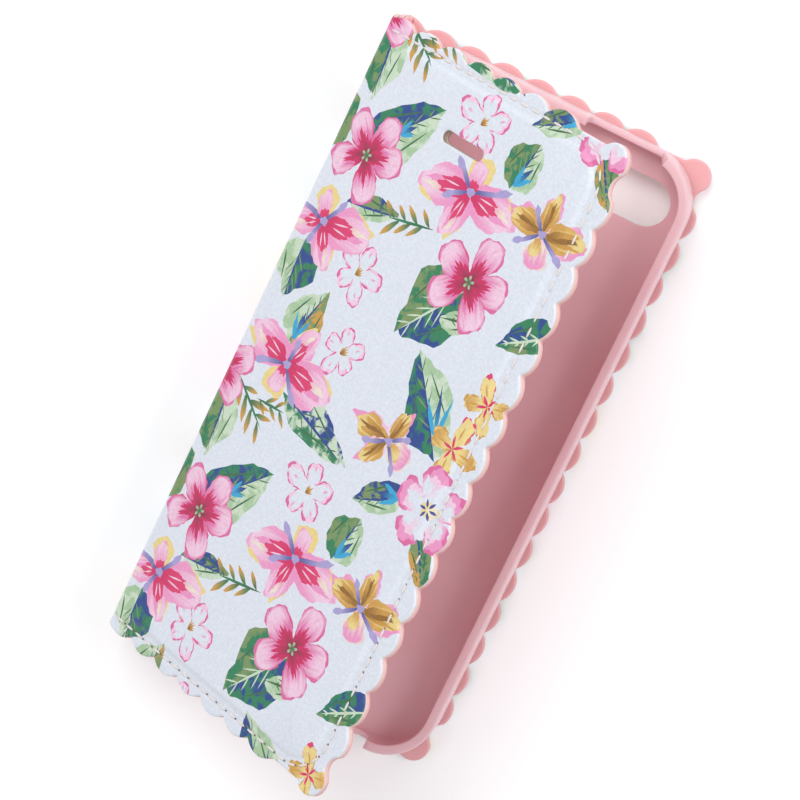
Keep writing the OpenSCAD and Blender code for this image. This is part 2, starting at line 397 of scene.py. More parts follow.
# %% Broad flowers
def pink_flower(at, size, headings):
    """Broad petals, with dark strokes that run out of the eye."""
    at = np.asarray(at, float)
    for h in headings:
        root = at + heading(h) * size * 0.08
        dab(PETAL, root, h, size * 0.95, size * 0.9, CHERRY, ROSE, 0.05)
        dab(PETAL, root, h + 1.5, size * 0.92, size * 0.84, ROSE, BLUSH, 0.045, PETAL_INK)
        for side in (-1, 1):
            edge = at + heading(h + 27 * side) * size * 0.36
            dab(POINTED, edge, h - 13 * side, size * 0.46, size * 0.1, ROSE, PINK, 0.1)
            fold_line = at + heading(h + 8 * side) * size * 0.44
            dab(POINTED, fold_line, h, size * 0.42, size * 0.12, PINK, BLUSH, 0.12)
    for h in headings:
        for k in range(-4, 5):
            reach = size * (0.64 - 0.07 * abs(k) + hand.uniform(-0.1, 0.09))
            lean = h + 8 * k + hand.uniform(-3, 3)
            dab(STROKE, at, lean, reach, size * 0.085, MAROON, CRIMSON)
    dab(PETAL, at - [size * 0.14, 0], 0, size * 0.28, size * 0.28, MAROON, wobble=0.12)
    for h in range(20, 380, 72):
        dab(PETAL, at, h, size * 0.14, size * 0.08, FERN, SAGE)


def outline_flower(at, size, turn_by):
    """Five pale petals that show by their rims."""
    at = np.asarray(at, float)
    rims_inwards = (
        (1.0, 0.84, CHERRY, ROSE, 0.05),
        (0.95, 0.74, PINK, BLUSH, 0.07),
        (0.84, 0.62, GROUND, GROUND, 0.1),
    )
    for length, width, root, tip, wobble in rims_inwards:
        for k in range(5):
            reach = size * (1 + 0.16 * math.sin(2.3 * k + turn_by)) * length
            dab(PETAL, at, turn_by + 72 * k, reach, size * width, root, tip, wobble)
    dab(PETAL, at - [size * 0.3, 0], 0, size * 0.6, size * 0.56, GROUND, wobble=0.05)
    for k in range(5):
        h = turn_by + 72 * k
        dab(STROKE, at + heading(h) * size * 0.5, h + 8, size * 0.3, size * 0.09, GROUND, PINK)
        foot, lean = at - heading(50) * 0.8, 50 + 16 * (k - 2)
        dab(STROKE, foot, lean, hand.uniform(1.4, 2.4), 0.4, BROWN, OCHRE)


def ruffled_flower(at, size):
    """A round pale flower in three washes, with a yellow eye."""
    at = np.asarray(at, float)
    washes = ((1.0, PINK, ROSE, 0.07), (0.9, BLUSH, PINK, 0.1), (0.72, GROUND, BLUSH, 0.12))
    for scale, root, tip, wobble in washes:
        for h in range(30, 390, 72):
            foot = at + heading(h) * size * 0.1
            dab(PETAL, foot, h, size * 0.94 * scale, size * 0.98 * scale, root, tip, wobble)
    for h in range(20, 377, 51):
        dab(POINTED, at + heading(h) * size * 0.3, h, size * 0.46, size * 0.3, GROUND, wobble=0.14)
    dab(PETAL, at - [size * 0.4, 0], 0, size * 0.8, size * 0.8, GROUND, wobble=0.1)
    dab(PETAL, at - [1.9, 0], 0, 4, 3.8, YELLOW, CREAM, 0.1, PETAL_INK)
    for h in range(0, 360, 60):
        dab(STROKE, at + heading(h) * 0.4, h, 1.6, 0.6, NAVY, INDIGO)


# %% Slender flowers
def orchid(at, long_petals, round_petal, stems, size=12.0):
    """Long pink petals with a crimson throat, one round petal, and lilac stems."""
    at = np.asarray(at, float)
    dab(PETAL, at, round_petal, size * 0.56, size * 0.68, YELLOW, YELLOW, 0.05, PETAL_INK)
    dab(PETAL, at, round_petal + 6, size * 0.48, size * 0.44, PINK, BLUSH, 0.07, PETAL_INK)
    for h, reach in long_petals:
        dab(POINTED, at, h + 7, reach * 1.02, reach * 0.5, CREAM, YELLOW)
        dab(LONG_PETAL, at, h, reach, reach * 0.64, PINK, BLUSH, 0.06, PETAL_INK)
        for side, tip in ((-1, PINK), (1, CREAM)):
            root = at + heading(h + 12 * side) * reach * 0.4
            dab(POINTED, root, h - 6 * side, reach * 0.5, reach * 0.11, PINK, tip, 0.12)
    for h, reach in long_petals:
        for k in (-1, 0, 1):
            long = reach * (0.66 - 0.1 * abs(k))
            dab(POINTED, at, h + 10 * k, long, reach * 0.2, CRIMSON, CHERRY, 0.08)
        for k in (-1, 1):
            foot = at + heading(h + 8 * k) * reach * 0.22
            dab(STROKE, foot, h + 7 * k, reach * 0.3, 0.35, BLUSH)
    for k in (-24, 0, 24):
        dab(POINTED, at, round_petal + k, size * 0.2, size * 0.1, CRIMSON, CHERRY, 0.08)
    for h, reach in stems:
        dab(POINTED, at, h, reach, 1.0, INDIGO, LILAC, 0.05)
        dab(POINTED, at + heading(h) * reach * 0.6, h + 8, reach * 0.5, 1.5, LILAC, wobble=0.05)
    dab(PETAL, at - [1, 0], 0, 2.1, 2.1, LILAC, wobble=0.1)


def ochre_flower(at, brown, pink_petal, stems):
    """Pointed ochre petals with brown veins, one pink petal, and lilac stems."""
    at = np.asarray(at, float)
    dab(PETAL, at, pink_petal, 6.4, 7.4, CREAM, PINK, 0.07, PETAL_INK)
    dab(PETAL, at, pink_petal - 12, 4.2, 3.4, OCHRE, YELLOW, 0.06, PETAL_INK)
    for h, reach in brown:
        dab(POINTED, at, h - 3, reach * 1.05, reach * 0.58, BLUSH, PINK, 0.1)
        dab(POINTED, at, h, reach, reach * 0.52, OCHRE, YELLOW, 0.08, PETAL_INK)
        for k, tip in ((-1, OCHRE), (0, BROWN), (1, OCHRE)):
            dab(POINTED, at, h + 9 * k, reach * 0.84, reach * 0.12, BROWN, tip, 0.12)
    for h, reach in stems:
        dab(POINTED, at, h, reach, 0.9, INDIGO, LILAC, 0.05)
        dab(POINTED, at + heading(h) * reach * 0.65, h - 8, reach * 0.45, 1.3, LILAC, wobble=0.05)
    dab(PETAL, at - [0.9, 0], 0, 1.9, 1.9, LILAC, wobble=0.1)


def blossom(at, size, turn_by):
    """A small yellow flower of four petals."""
    at = np.asarray(at, float)
    tips = ((OCHRE, OCHRE), (CHERRY, YELLOW), (OCHRE, OCHRE), (OCHRE, YELLOW))
    for k, (rim_tip, tip) in enumerate(tips):
        h, odd = turn_by + 90 * k + hand.uniform(-9, 9), 0.1 * (k % 2)
        dab(PETAL, at, h, size * (1 + odd), size * 0.8, OCHRE, rim_tip, 0.09)
        dab(PETAL, at, h + 2, size * (0.95 + odd), size * 0.72, YELLOW, tip, 0.09, PETAL_INK)
        dab(STROKE, at + heading(h) * size * 0.3, h + 6, size * 0.5, size * 0.08, OCHRE)
    for k in range(5):
        dab(STROKE, at, turn_by + 40 + 72 * k, size * 0.42, 0.6, CRIMSON, CHERRY)


# %% Leaves and sprigs
def leaf(base, tip, left, right, left_w, right_w, vein=NAVY):
    """A leaf of two halves; left and right hold a pair of inks each."""
    base, run = np.asarray(base, float), np.subtract(tip, base)
    toward, length = math.degrees(math.atan2(run[1], run[0])), float(np.hypot(*run))
    for part, inks, width in ((LEAF_LEFT, left, left_w), (LEAF_RIGHT, right, right_w)):
        dab(part, base, toward, length, 2 * width, *inks, 0.05, LEAF_INK)
    dab(STROKE, base, toward, length * 0.96, 0.55, vein, wobble=0)
    for k in range(1, 5):
        root = base + run * (0.12 + 0.17 * k)
        for side, width, inks in ((1, left_w, left), (-1, right_w, right)):
            tone = FERN if PALE in inks else (PALE if vein == PALE else MOSS)
            reach = width * hand.uniform(0.7, 1.0) * (1.05 - 0.13 * k)
            lean = toward + side * (38 - 3 * k) + hand.uniform(-6, 6)
            dab(STROKE, root, lean, reach, 0.26 if tone == FERN else 0.36, tone, wobble=0)
    for side, width in ((1, left_w), (-1, right_w)):
        at = base + run * 0.3 + heading(toward + 90 * side) * width * 0.72
        dab(STROKE, at, toward - side * 12, length * 0.5, 0.4, FERN, wobble=0)


def sprig(at, toward, length, needles=7):
    """A thin stem with narrow leaves on both sides."""
    at = np.asarray(at, float)
    dab(STROKE, at, toward, length, 0.6, FERN, GREEN, 0)
    for k in range(needles):
        root = at + heading(toward) * length * (0.12 + 0.86 * k / needles)
        h = toward + (38 if k % 2 else -42) + hand.uniform(-8, 8)
        reach = length * hand.uniform(0.3, 0.46)
        dab(POINTED, root, h, reach, reach * 0.24, GREEN if k % 3 else FERN, OCHRE, 0.04)
        dab(STROKE, root, h + 4, reach * 0.7, reach * 0.08, FERN, MOSS, 0)


def bud(at, toward, reach):
    """Three blue touches side by side."""
    for k, tip in ((-1, CYAN), (0, NAVY), (1, CYAN)):
        long = reach * (1 - 0.15 * abs(k))
        dab(POINTED, at, toward + 22 * k, long, 1.0, CYAN, tip, 0.08)


# %% [markdown]
# The marks are laid out one by one over one repeat of the roll: u runs from the cover
# crease to the cover's free edge, y towards the top of the phone. Leaves come first, so
# that the flowers lie over them.

# %% One repeat of the print: leaves
DARK, LIGHT, DEEP = (MOSS, GREEN), (PALE, SAGE), (NAVY, GREEN)
leaf((7, 41), (22, 54), DEEP, LIGHT, 4.6, 6.5)
leaf((10, 30.5), (23, 33), (MOSS, NAVY), LIGHT, 2.6, 2.2)
leaf((45, 29), (34, 15.5), DEEP, DARK, 6.5, 7.5, PALE)
leaf((42, 22), (51, 24.5), LIGHT, LIGHT, 1.5, 2.5, FERN)
leaf((43.5, 48), (45.8, 57.5), DARK, LIGHT, 4.8, 4.2)
leaf((2, 63), (3.5, 49), LIGHT, (GREEN, MOSS), 5, 4.5)
leaf((-4, 50), (-3, 35), DARK, DARK, 6, 5)
leaf((11, 2), (15, 13.8), LIGHT, (OCHRE, MOSS), 5, 4.5)
leaf((4, 20.5), (5, 9.2), DEEP, LIGHT, 5.6, 5.4)
leaf((16, -6), (36, -10.6), (PALE, NAVY), (GREEN, PALE), 4.4, 3.4)
leaf((55, 0), (41, 15), DEEP, LIGHT, 5.0, 5.6)
leaf((67, 30), (56.5, 23.6), DARK, (GREEN, NAVY), 2.5, 3.8, PALE)
leaf((53, -9), (42, -14.5), LIGHT, (MOSS, NAVY), 2.6, 3.6)
leaf((59, -13), (64, -19.5), DARK, (OCHRE, MOSS), 2.2, 2.2)
leaf((60, 60), (65, 53), DARK, (OCHRE, MOSS), 2.4, 2.2)
bud((44, 48.6), 60, 5)
bud((53, 3), 112, 9)
bud((14, 46), 40, 4.5)
bud((12, 3), 88, 6)
bud((52, -9.5), 192, 6)
sprig((32, 34.6), 192, 12)
sprig((3, -8), -30, 13)
sprig((10, -10), 5, 8, 5)
print("brush marks of leaves:", len(marks))

# %% One repeat of the print: flowers
outline_flower((31.5, 55.6), 6.2, 22)
outline_flower((19.6, 20.4), 6.0, 75)
outline_flower((24.6, 6.6), 5.2, 98)
orchid((6.2, 25), ((-58, 9.5), (5, 13), (200, 8.5)), 112, ((52, 6), (172, 9), (-110, 5)))
orchid((35.6, 43.8), ((-103, 9.5), (-8, 12.5), (190, 12.5)), 83, ((18, 9), (140, 7), (205, 6)))
orchid((13.2, -1.4), ((62, 9.5), (-8, 13.5), (165, 12.5)), 258, ((195, 8), (-48, 8), (80, 5)))
ochre_flower((54.6, 44), ((90, 7.6), (172, 8.8), (12, 10)), 282, ((216, 6), (-25, 7), (135, 5)))
ochre_flower((43.6, -2), ((178, 9.4), (72, 7), (232, 7.6)), -15, ((-48, 6), (205, 6), (30, 5)))
blossom((60.2, 13.2), 5.0, 20)
blossom((57.6, 3.6), 5.8, -8)
ruffled_flower((58.6, -8), 7.8)
pink_flower((9, 39.6), 9.0, (62, 8, -63, 207, 135))
pink_flower((44.4, 30), 9.2, (72, 6, -52, 218, 158))
pink_flower((-2.4, -8.6), 8.8, (30, -30, 102, 174, 246))
ROLL_Y, ROLL_U = 74.0, 69.0
print("brush marks in one repeat:", len(marks))


# %% The marks that fall on a stretch of the sheet
def marks_between(low_s, high_s):
    """Marks in sheet places, with how far each was moved from the first repeat."""
    found = []
    for du in (-2 * ROLL_U, -ROLL_U, 0.0):
        for dy in (-ROLL_Y, 0.0, ROLL_Y):
            for m in marks:
                p = m["points"] + [du, dy]
                s = -SPINE_W - p[:, 0]
                if s.max() > low_s and s.min() < high_s and np.abs(p[:, 1]).min() < HALF_LEN + 2:
                    found.append((np.stack([s, p[:, 1]], -1)[::-1], m, (du, dy)))
    return found


# %% [markdown]
# ## Layers of the sheet
# Each layer is a closed skin: an outer face that shows, a hidden face, and the cut edge
# between them. A grid with a Solidify modifier would be quicker, but couldn't follow the
# scallops. So the faces are triangulated flat, with lines where the sheet bends, round the
# stitched seam and round the raised panel, and folded afterwards. The height of the outer
# face comes from its distance to those lines, so the board's step, the groove that the
# thread pulls and the rounded cut edge are real shape.

# %% Sizes of the relief, in millimetres
CAMERA_X, CAMERA_Y = 16.6, 53
# middle, width and height of the hole in the back (side 1) and in the cover (side -1)
HOLES = {1: (CAMERA_X + CREASE_RUN, CAMERA_Y, 21, 10), -1: (29.2, 50.2, 10.8, 2.3)}
STEP_RUN, EDGE_ROUND, EDGE_DROP = 1.3, 0.32, 0.26
GROOVE, GROOVE_HALF, SEAM_END = 0.14, 0.4, 0.6
BEND_STEP, BACKING_SHRINK = 0.2, 0.06
print("camera hole and earpiece slot, mm:", [HOLES[side][2:] for side in (1, -1)])


# %% Panels, holes and distances
def panel_distance(u, y, inset, start, r_free):
    """How far inside a panel a point lies; negative outside. The free corners are round."""
    mid, reach_x = (start + SEAM_X - inset) / 2, (SEAM_X - inset - start) / 2
    r = np.where(u > mid, r_free, 1.0)
    qx, qy = np.abs(u - mid) - reach_x + r, np.abs(y) - (SEAM_Y - inset) + r
    return r - np.hypot(np.maximum(qx, 0), np.maximum(qy, 0)) - np.minimum(np.maximum(qx, qy), 0)


def panel_ring(inset, start, r):
    """The outline of such a panel, anticlockwise in u and y."""
    x, y = SEAM_X - inset, SEAM_Y - inset
    t = np.linspace(0, math.pi / 2, 12)
    top = np.stack([x - r + r * np.cos(t), y - r + r * np.sin(t)], -1)
    return np.vstack([[(start, -y)], (top * [1, -1])[::-1], top, [(start, y)]])


def on_sheet(points, side):
    """u and y on the back (side 1) or cover (side -1) as s and y, still anticlockwise."""
    points = np.asarray(points, float)
    return points if side > 0 else np.stack([-SPINE_W - points[:, 0], points[:, 1]], -1)[::-1]


def raised_ring(side, d):
    """A line on the board's step, d inside its foot."""
    return on_sheet(panel_ring(PANEL_IN + d, PANEL_START + d, SEAM_R - PANEL_IN - d), side)


def slot_ring(cx, cy, w, h, grow=0.0):
    """A slot with round ends, anticlockwise."""
    r, half_w = h / 2 + grow, w / 2 - h / 2
    t = np.linspace(-math.pi / 2, math.pi / 2, 14)
    end = np.stack([cx + half_w + r * np.cos(t), cy + r * np.sin(t)], -1)
    return np.vstack([end, [2 * cx, 2 * cy] - end])


def inset_by(loop, depth):
    """An anticlockwise loop moved inwards."""
    along = np.roll(loop, -2, axis=0) - np.roll(loop, 2, axis=0)
    along /= np.linalg.norm(along, axis=1)[:, None]
    return loop + depth * np.stack([-along[:, 1], along[:, 0]], -1)


def nearest(points, loop, reach):
    """Distance from each point to a closed loop, where it is less than reach."""
    out = np.full(len(points), float(reach))
    a, d = loop, np.roll(loop, -1, axis=0) - loop
    for start in range(0, len(points), 2000):
        p = points[start : start + 2000]
        near = np.hypot(*(p[:, None] - a[None]).transpose(2, 0, 1)).min(1) < reach + 1
        q = p[near]
        if len(q):
            t = np.clip(((q[:, None] - a) * d).sum(-1) / (d * d).sum(-1), 0, 1)
            gap = np.linalg.norm(q[:, None] - a - t[..., None] * d, axis=-1).min(1)
            out[start + np.flatnonzero(near)] = np.minimum(gap, reach)
    return out


print("raised panel, mm:", np.ptp(raised_ring(1, 0), axis=0).round(1))


# %% Heights of the faces
def step_height(points, proud):
    """How far the boards raise the sheet at each point, in mm."""
    s, y = points.T
    size = PANEL_IN, PANEL_START, SEAM_R - PANEL_IN
    inside = [panel_distance(u, y, *size) for u in (s, -SPINE_W - s)]
    return sum(proud * eased(d / STEP_RUN) for d in inside)


def relief(points, proud, loop, hole):
    """How far each point's outer face stands out from the plain border, in mm."""
    s, y = points.T
    out = step_height(points, proud)
    for u in (s, -SPINE_W - s):
        seam = panel_distance(u, y, 0, -BEYOND, SEAM_R)
        ends = eased((u - SEAM_START + SEAM_END) / SEAM_END)
        out -= GROOVE * np.exp(-((seam / GROOVE_HALF) ** 2)) * ends
    edge = np.minimum(nearest(points, loop, EDGE_ROUND), nearest(points, hole, EDGE_ROUND))
    return out - EDGE_DROP * (1 - edge / EDGE_ROUND) ** 2


# %% [markdown]
# The outer face needs points close together only where its height changes: two rings on
# each rounded edge and one just past it, so that the flat beyond it shades flat, and the
# same beside the seam. The hidden face has the very same rims, so that the layer closes
# without a gap, and few points in between.


# %% Lines that the faces are cut along
def outer_plan(loop, side, low_s, high_s):
    """Polygons (the rim, the stretch and the hole first) and seam lines of an outer face."""
    polygons = [loop, box(low_s, -BEYOND, high_s, BEYOND), on_sheet(slot_ring(*HOLES[side]), side)]
    polygons += [raised_ring(side, d) for d in (0, 0.4, 0.8, STEP_RUN)]
    polygons += [on_sheet(slot_ring(*HOLES[side], d), side) for d in (0.14, 0.32, 0.46)]
    polygons += [inset_by(loop, d) for d in (0.1, 0.32, 0.46)]
    beside = (-0.8, -0.6, -0.4, -0.15, 0.15, 0.4, 0.6, 0.8)
    rings = [panel_ring(d, SEAM_START - SEAM_END, SEAM_R - d) for d in beside]
    return polygons, [on_sheet(ring, side) for ring in rings]


def hidden_face(rim_points, main, side, bends):
    """Points and triangles inside the main rim, with a line across at every bend."""
    border, across = np.vstack(rim_points), []
    for s in bends:
        on_line = border[np.abs(border[:, 0] - s) < 2e-3]
        if len(on_line) >= 2:
            across.append(on_line[np.argsort(on_line[:, 1])][[0, -1]])
    rings = [raised_ring(side, d) for d in (0, 0.8, STEP_RUN)]
    points, triangles, owners = triangulate([*rim_points, *rings], across)
    holes = set(range(len(rim_points))) - {main}
    return points, [t for t, own in zip(triangles, owners) if main in own and not holes & set(own)]


def signed_area(loop):
    """Positive where the loop runs anticlockwise."""
    x, y = loop.T
    return 0.5 * np.sum(x * np.roll(y, -1) - np.roll(x, -1) * y)


# %% Make one layer
def make_layer(name, low_s, high_s, outer_n, hidden_n, proud, materials, printed, shrink):
    """A layer of the sheet between two places. The face at outer_n shows."""
    out, side = (-1 if outer_n < hidden_n else 1), (1 if high_s > 0 else -1)
    loop = inset_by(outline, shrink)
    polygons, lines = outer_plan(loop, side, low_s, high_s)
    bends = [(0.0 if side > 0 else -SPINE_W) + BEND_STEP * k for k in range(-8, 9)]
    lines += [np.array([(s, -70.0), (s, 70.0)]) for s in bends]
    on_top = marks_between(low_s, high_s) if printed else []
    points, triangles, owners = triangulate(polygons + [p for p, _, _ in on_top], lines)
    kept = [i for i, own in enumerate(owners) if 0 in own and 1 in own and 2 not in own]
    faces = [triangles[i] for i in kept]
    edges = rims(faces)
    areas = [signed_area(points[r]) for r in edges]
    main = int(np.argmax(np.abs(areas)))
    rim_points = [points[r] if a > 0 else points[r][::-1] for r, a in zip(edges, areas)]
    under, under_faces = hidden_face(rim_points, main, side, bends)

    used = sorted({v for f in faces for v in f})
    number = {v: i for i, v in enumerate(used)}
    below = {tuple(p): len(used) + i for i, p in enumerate(under)}
    outer = (outer_n + out * relief(points, proud, loop, polygons[2]))[used]
    inner = hidden_n + out * step_height(under, proud)
    mesh_points = np.vstack([fold(*points[used].T, outer), fold(*under.T, inner)])
    shown = [[number[v] for v in f] for f in faces]
    hidden = [[len(used) + v for v in f[::-1]] for f in under_faces]
    walls, slots = [], [0] * len(shown) + [1] * len(hidden)
    for k, rim in enumerate(edges):
        for a, b in zip(rim, rim[1:] + rim[:1]):
            walls.append([number[b], number[a], below[tuple(points[a])], below[tuple(points[b])]])
            slots.append(1 if k == main else 2)
    all_faces = shown + hidden + walls
    if out < 0:
        all_faces = [f[::-1] for f in all_faces]
    piece = make_piece(name, mesh_points, all_faces, materials)
    piece.data.polygons.foreach_set("material_index", slots)
    if printed:
        top = [max(owners[i]) - len(polygons) for i in kept]
        ink_the_mesh(piece, points, faces, top, on_top, out < 0)
    print(name, "triangles:", len(shown) + len(hidden) + 2 * len(walls))
    return piece


# %% Carry the inks onto the mesh
def ink_the_mesh(piece, points, faces, top_mark, on_top, flipped):
    """Two inks, a kind and a place along the brush mark, for every corner of every face."""
    count = len(piece.data.loops)
    data = {name: np.tile(linear(GROUND), (count, 1)) for name in ("ink_a", "ink_b")}
    data.update({name: np.zeros((count, 3)) for name in ("brush_place", "brush_kind")})
    for i, (f, top) in enumerate(zip(faces, top_mark)):
        if top < 0:
            continue
        _, m, (du, dy) = on_top[top]
        cx, cy, ax, ay, bx, by = m["axes"]
        for k, v in enumerate(f[::-1] if flipped else f):
            u, y = -SPINE_W - points[v][0] - du - cx, points[v][1] - dy - cy
            data["brush_place"][3 * i + k] = (u * ax + y * ay, u * bx + y * by, m["seed"])
        data["brush_kind"][3 * i : 3 * i + 3] = m["kind"]
        data["ink_a"][3 * i : 3 * i + 3], data["ink_b"][3 * i : 3 * i + 3] = m["inks"]
    for name, values in data.items():
        kind, field = ("FLOAT_COLOR", "color") if "ink" in name else ("FLOAT_VECTOR", "vector")
        layer = piece.data.attributes.new(name, kind, "CORNER")
        layer.data.foreach_set(field, values.astype(np.float32).ravel())
    print(piece.name, "inked corners:", int((data["brush_place"][:, 2] > 0).sum()))


# %% [markdown]
# ## Printed leather
# The outside is polyurethane-coated leather: white film on a knitted back, embossed with a
# very fine linen-like grain and printed with soft inks, under a thin pearly lacquer. That
# gives a satin gloss with tiny broken highlights. The inks come from the mesh; the streaks
# inside a petal and the blots inside a leaf are made here.


# %% Printed leather
def brush_shares(tree, along, across, seed, petal, foliage):
    """How much of the tip's ink shows, and how dark the dried rim of a petal is."""
    place = {0: calc(tree, "MULTIPLY", along, 0.7), 1: calc(tree, "MULTIPLY", across, 5.0), 2: seed}
    lengthways = add(tree, "CombineXYZ", place)
    streak = add(tree, "TexNoise", {"Vector": lengthways, "Scale": 1.3, "Detail": 3.0}, "Fac")
    rise = calc(tree, "MULTIPLY_ADD", along, 0.5, -0.05)
    petal_share = ramp(tree, calc(tree, "MULTIPLY_ADD", streak, 1.1, rise), 0.1, 0.95)
    # leaf blots are about 2.6 mm across, with wet edges
    blot = ramp(tree, noise(tree, 2.6, 4, Distortion=0.5), 0.44, 0.56)
    flat_share = ramp(tree, calc(tree, "ADD", along, streak), -0.4, 1.2)
    share = add(tree, "Mix", {0: petal, 2: flat_share, 3: petal_share})
    share = add(tree, "Mix", {0: foliage, 2: share, 3: blot})
    # a wash dries darker at its rim, which the mark's own axes find
    wide = calc(tree, "MULTIPLY_ADD", along, 0.28, 0.72)
    aside = calc(tree, "ABSOLUTE", calc(tree, "DIVIDE", across, wide), 0.0)
    out_by = calc(tree, "POWER", aside, 2.0)
    out_by = calc(tree, "ADD", out_by, calc(tree, "MULTIPLY", along, along))
    rim = calc(tree, "MULTIPLY", ramp(tree, out_by, 0.78, 1.0, 0.0, 1.4), petal)
    return share, calc(tree, "MULTIPLY", rim, streak)


def printed_leather():
    """Satin lacquer over inks that come from the mesh, on a fine half-millimetre grain."""
    made, tree, shader = new_finish(
        "printed_pu_leather", Roughness=0.4, IOR=1.5, Coat_Weight=0.12, Coat_Roughness=0.22,
        Sheen_Weight=0.05,
    )
    inks = [add(tree, "Attribute", out="Color", attribute_name=n) for n in ("ink_a", "ink_b")]
    place = add(tree, "Attribute", out="Vector", attribute_name="brush_place")
    kind = add(tree, "Attribute", out="Vector", attribute_name="brush_kind")
    along, across, seed = add(tree, "SeparateXYZ", {0: place}).node.outputs
    petal, foliage, _ = add(tree, "SeparateXYZ", {0: kind}).node.outputs
    share, rim = brush_shares(tree, along, across, seed, petal, foliage)
    colour = mixed(tree, rim, mixed(tree, share, *inks), inks[0])
    # the print screen leaves a faint mottle about half a millimetre across
    mottle = ramp(tree, noise(tree, 0.55, 2), 0.3, 0.75, 0.93, 1.03)
    tone = add(tree, "CombineColor", {0: mottle, 1: mottle, 2: mottle})
    plug(shader, {"Base Color": mixed(tree, 1.0, colour, tone, "MULTIPLY")})
    grained(tree, shader, 0.5, 0.05, 0.35)
    return made


# %% Finishes of the sheet
# brushed microfibre: soft and dull, with a light sheen where the eye grazes it
lining_finish = plain_sheet(
    "pink_lining_microfibre", "#eeb1b3", "#e29fa1", 0.45, 0.04, 0.3, Roughness=0.6, Sheen_Weight=0.15
)
# the sandwich where the die cut it: matt and a little uneven
cut_edge_finish = plain_sheet(
    "cut_edge_of_pu_leather", "#eed3cf", "#dcb9b4", 0.2, 0.05, 0.5, Roughness=0.8
)
# the cut edge round a hole, painted darker as the shade that falls inside the hole
hole_edge_shade_finish = plain_sheet(
    "hole_edge_with_painted_shade", "#b39c92", "#8f776c", 0.2, 0.05, 0.5, Roughness=0.75
)
# pressed fibres without a film: the dullest layer, seen only as a line in the cut edge
backing_finish = plain_sheet(
    "nonwoven_backing", "#efd9cf", "#dcc0b4", 0.3, 0.06, 0.6, Roughness=0.9
)
leather_finish = printed_leather()
print("finishes:", [m.name for m in bpy.data.materials])

# %% [markdown]
# ## Leather, backing and lining
# Each layer is made in two pieces that meet in the middle of the spine. The first bends
# over the back crease and the second over the cover crease.


# %% Bake a piece's placement
def crease_blend(piece, which):
    """Bakes the piece's placement into its mesh."""
    x, z = -CREASE_RUN, CREASE_Z
    if which == "back":
        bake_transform(piece)
    else:
        z += SPINE_W
        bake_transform(piece)


# %% The sheet's six pieces
MID_SPINE, FAR = -SPINE_W / 2, 90.0
layers = {
    "leather": (OUTER_N, SKIN_N, RAISED, leather_finish, cut_edge_finish, True, 0.0),
    "backing": (SKIN_N, LINING_N, 0.0, backing_finish, backing_finish, False, BACKING_SHRINK),
    "lining": (INNER_N, LINING_N, 0.0, lining_finish, lining_finish, False, 0.0),
}
stands_for = {
    ("leather", "back"): ("back_leather", "spine_leather"),
    ("leather", "cover"): ("cover_leather",),
    ("backing", "back"): ("back_backing", "spine_strip"),
    ("backing", "cover"): ("cover_backing",),
    ("lining", "back"): ("back_lining", "spine_lining"),
    ("lining", "cover"): ("cover_lining",),
}
for layer_name, (outer_n, hidden_n, proud, face, edge, printed, shrink) in layers.items():
    # the walls of holes get the cut edge painted darker, as painted shade
    finishes = [face, edge, hole_edge_shade_finish]
    for half_name, low_s, high_s in (("back", MID_SPINE, FAR), ("cover", -FAR, MID_SPINE)):
        piece = make_layer(
            f"{layer_name}_{half_name}", low_s, high_s, outer_n, hidden_n, proud, finishes,
            printed, shrink,
        )
        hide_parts(*stands_for[layer_name, half_name])
        crease_blend(piece, half_name)

# %% [markdown]
# ## Stitching
# The leather and the lining are sewn together just inside the scallops with a lockstitch:
# short pale stitches on both faces, about three to a centimetre, with a small dark hole
# between them where the needle went through. Stitches repeat along a line, so Geometry
# Nodes make them: the line becomes a curve, is divided by the stitch pitch, and gets one
# stitch at each point and one hole half a pitch further on.


# %% Thread and hole finishes
def thread_finish():
    """Twisted polyester: off-white, with the small shadows of its plies."""
    made, tree, shader = new_finish("polyester_sewing_thread", Roughness=0.55, Sheen_Weight=0.2)
    tone = noise(tree, 0.25, 2)
    plug(shader, {"Base Color": mixed(tree, tone, linear("#f1ebe8"), linear("#d8cbc6"))})
    bumped(tree, shader, noise(tree, 0.12, 2), 0.04, 0.8)
    return made


sewing_finish = thread_finish()
# the needle's hole is too small to see into, so a darker tone gives its shadow
hole_finish = plain_sheet(
    "needle_hole_shadow", "#8a7672", "#6f5c58", 0.2, 0.02, 0.3, Roughness=0.9
)
print("sewing finishes:", sewing_finish.name, hole_finish.name)

# %% The stitching tree
# in millimetres
STITCH_SIZES = {
    "Stitch pitch": 2.95, "Stitch length": 2.2, "Thread width": 0.5, "Hole width": 0.6
}


def along_curve(tree, path, pitch, rings, size, material):
    """A ball, scaled to size, at every pitch along a curve and turned along it."""
    ball = add(tree, "GeometryNodeMeshUVSphere", {"Segments": 8, "Rings": rings, "Radius": 0.5})
    scale = add(tree, "CombineXYZ", dict(enumerate(size)))
    shape = add(tree, "GeometryNodeTransform", {"Geometry": ball, "Scale": scale})
    links = {"Curve": path, "Length": pitch}
    points = add(tree, "GeometryNodeResampleCurve", links, mode="LENGTH")
    tangent = add(tree, "GeometryNodeInputTangent")
    way = add(tree, "FunctionNodeAlignRotationToVector", {"Vector": tangent}, axis="X")
    links = {"Points": points, "Instance": shape, "Rotation": way}
    placed = add(tree, "GeometryNodeInstanceOnPoints", links)
    real = add(tree, "GeometryNodeRealizeInstances", {0: placed})
    return add(tree, "GeometryNodeSetMaterial", {"Geometry": real, "Material": material})


